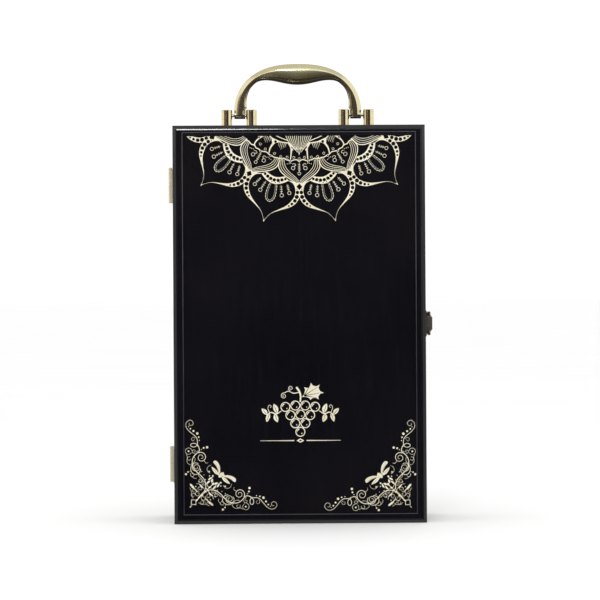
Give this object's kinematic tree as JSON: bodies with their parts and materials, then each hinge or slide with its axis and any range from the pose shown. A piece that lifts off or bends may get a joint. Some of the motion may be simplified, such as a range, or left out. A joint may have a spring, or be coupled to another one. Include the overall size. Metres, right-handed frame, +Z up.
{
  "type": "two-bottle wine box",
  "caption": "Upright lacquered wine box for two bottles, with a side-hinged lid, a toggle latch, a swinging carrying handle and a lined bottle tray.",
  "frame": {"origin": "centre of the rectangular underside, on the plane the box stands on", "axes": "+X to the latch side, -Y to the lid's front, +Z up"},
  "size_m": [0.2379, 0.112, 0.414],
  "materials": {
    "lacquer": "gloss black lacquer on board",
    "tray_velvet": "wine-red flocked velvet",
    "pad_satin": "wine-red satin over foam",
    "backing_board": "dark grey board",
    "handle_gold": "polished pale gold plating on a casting",
    "hinge_brass": "bright brass plating",
    "latch_bronze": "antique bronze plating",
    "steel": "zinc-plated steel"
  },
  "bodies": {
    "box_body": {"back_panel": "lacquer", "body_bottom_board": "lacquer", "body_hinge_side": "lacquer", "body_latch_side": "lacquer", "body_top_board": "lacquer", "bottle_tray": "tray_velvet", "handle_pin_left": "steel", "handle_pin_right": "steel", "handle_post_left_inner": "handle_gold", "handle_post_left_outer": "handle_gold", "handle_post_right_inner": "handle_gold", "handle_post_right_outer": "handle_gold", "handle_screws": "steel", "handle_washers": "steel", "hinge_body_screws": "hinge_brass", "latch_base": "latch_bronze", "latch_base_screws": "latch_bronze", "latch_lever_pin": "latch_bronze", "lower_hinge_body_leaf": "hinge_brass", "lower_hinge_pin": "hinge_brass", "upper_hinge_body_leaf": "hinge_brass", "upper_hinge_pin": "hinge_brass"},
    "lid": {"catch_plate": "latch_bronze", "catch_screws": "latch_bronze", "front_panel": "lacquer", "hinge_lid_screws": "hinge_brass", "lid_bottom_rail": "lacquer", "lid_hinge_stile": "lacquer", "lid_latch_stile": "lacquer", "lid_pad": "pad_satin", "lid_pad_board": "backing_board", "lid_top_rail": "lacquer", "lower_hinge_lid_leaf": "hinge_brass", "upper_hinge_lid_leaf": "hinge_brass"},
    "handle": {"carry_handle": "handle_gold"},
    "lever": {"latch_lever": "latch_bronze"},
    "bail": {"latch_bail": "latch_bronze"}
  },
  "joints": [
    {"name": "lid_hinge", "type": "hinge", "parent": "box_body", "child": "lid", "pos_m": [-0.115, -0.022, 0.1775], "axis": [0, 0, -1], "range_deg": [0, 185]},
    {"name": "handle_swing", "type": "hinge", "parent": "box_body", "child": "handle", "pos_m": [0, 0, 0.3672], "axis": [1, 0, 0], "range_deg": [-95, 95]},
    {"name": "latch_turn", "type": "hinge", "parent": "box_body", "child": "lever", "pos_m": [0.1173, -0.0165, 0.1775], "axis": [0, 0, -1], "range_deg": [0, 150]},
    {"name": "bail_turn", "type": "hinge", "parent": "lever", "child": "bail", "pos_m": [0.11685, -0.0121, 0.1775], "axis": [0, 0, 1], "range_deg": [0, 150]}
  ],
  "couplings": [
    {"joint": "bail_turn", "follows": "latch_turn", "ratio": 1}
  ]
}
